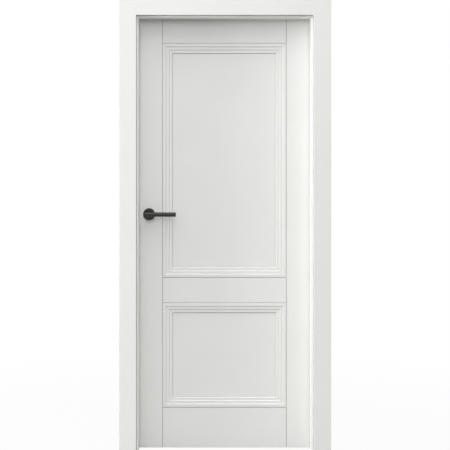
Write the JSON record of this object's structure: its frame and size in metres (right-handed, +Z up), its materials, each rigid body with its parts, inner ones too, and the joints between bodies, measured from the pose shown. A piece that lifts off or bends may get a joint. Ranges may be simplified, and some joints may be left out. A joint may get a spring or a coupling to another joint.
{
  "type": "interior door with frame",
  "caption": "Hinged interior door: white panelled leaf with stepped mouldings in a rebated frame with flat casings, black round lever handles and a spring latch.",
  "frame": {"origin": "on the floor, under the middle of the whole part's box", "axes": "+Z up, +X towards the hinges, +Y from the push side to the pull side, the way the leaf opens"},
  "size_m": [0.984, 0.1924, 2.109],
  "materials": {
    "frame_lacquer": "satin white lacquer on fibreboard",
    "leaf_lacquer": "satin white lacquer on fibreboard and pine",
    "seal_rubber": "soft grey seal",
    "hinge_steel": "satin",
    "screw_steel": "bright zinc",
    "latch_steel": "brushed",
    "zinc_steel": "zinc plated",
    "dark_plastic": "matt moulded",
    "bare_wood": "bare beech",
    "black_coat": "matt black powder coat"
  },
  "bodies": {
    "frame": {"jamb_latch": "frame_lacquer", "jamb_hinge": "frame_lacquer", "head_jamb": "frame_lacquer", "casing_front_latch": "frame_lacquer", "casing_front_hinge": "frame_lacquer", "casing_front_head": "frame_lacquer", "casing_back_latch": "frame_lacquer", "casing_back_hinge": "frame_lacquer", "casing_back_head": "frame_lacquer", "seal_latch": "seal_rubber", "seal_hinge": "seal_rubber", "seal_head": "seal_rubber", "strike_plate": "latch_steel", "strike_box": "dark_plastic", "strike_screws": "screw_steel", "corner_screws": "screw_steel", "hinge_frame_plate_low": "hinge_steel", "hinge_frame_plate_mid": "hinge_steel", "hinge_frame_plate_high": "hinge_steel", "hinge_pin_low": "hinge_steel", "hinge_pin_mid": "hinge_steel", "hinge_pin_high": "hinge_steel", "hinge_frame_screws": "screw_steel"},
    "leaf": {"stile_latch": "leaf_lacquer", "stile_hinge": "leaf_lacquer", "rail_top": "leaf_lacquer", "rail_middle": "leaf_lacquer", "rail_bottom": "leaf_lacquer", "panel_upper": "leaf_lacquer", "panel_lower": "leaf_lacquer", "moulding_upper_front": "leaf_lacquer", "moulding_upper_back": "leaf_lacquer", "moulding_lower_front": "leaf_lacquer", "moulding_lower_back": "leaf_lacquer", "rail_dowels": "bare_wood", "hinge_leaf_plate_low": "hinge_steel", "hinge_leaf_plate_mid": "hinge_steel", "hinge_leaf_plate_high": "hinge_steel", "hinge_leaf_screws": "screw_steel", "latch_case": "zinc_steel", "latch_cover": "zinc_steel", "latch_forend": "latch_steel", "forend_screws": "screw_steel", "latch_spring": "zinc_steel", "rose_base_front": "dark_plastic", "rose_base_back": "dark_plastic", "rose_cover_front": "black_coat", "rose_cover_back": "black_coat", "rose_bolts": "screw_steel"},
    "handle": {"lever_neck_front": "black_coat", "lever_neck_back": "black_coat", "lever_grip_front": "black_coat", "lever_grip_back": "black_coat", "spindle": "zinc_steel", "latch_hub": "zinc_steel", "grub_screws": "screw_steel"},
    "latch": {"latch_bolt": "latch_steel"}
  },
  "joints": [
    {"name": "leaf_swing", "type": "hinge", "parent": "frame", "child": "leaf", "pos_m": [0.4105, 0.04275, 1.0315], "axis": [0, 0, -1], "range_deg": [0, 170]},
    {"name": "lever_turn", "type": "hinge", "parent": "leaf", "child": "handle", "pos_m": [-0.354, 0.01575, 1.104], "axis": [0, 1, 0], "range_deg": [0, 40], "stiffness_Nm_per_rad": 1, "springref_deg": -28.65},
    {"name": "bolt_slide", "type": "slide", "parent": "leaf", "child": "latch", "axis": [1, 0, 0], "range_m": [0, 0.012], "deforming": ["latch_spring"]}
  ],
  "couplings": [
    {"joint": "bolt_slide", "follows": "lever_turn", "m_per_rad": 0.01718}
  ]
}
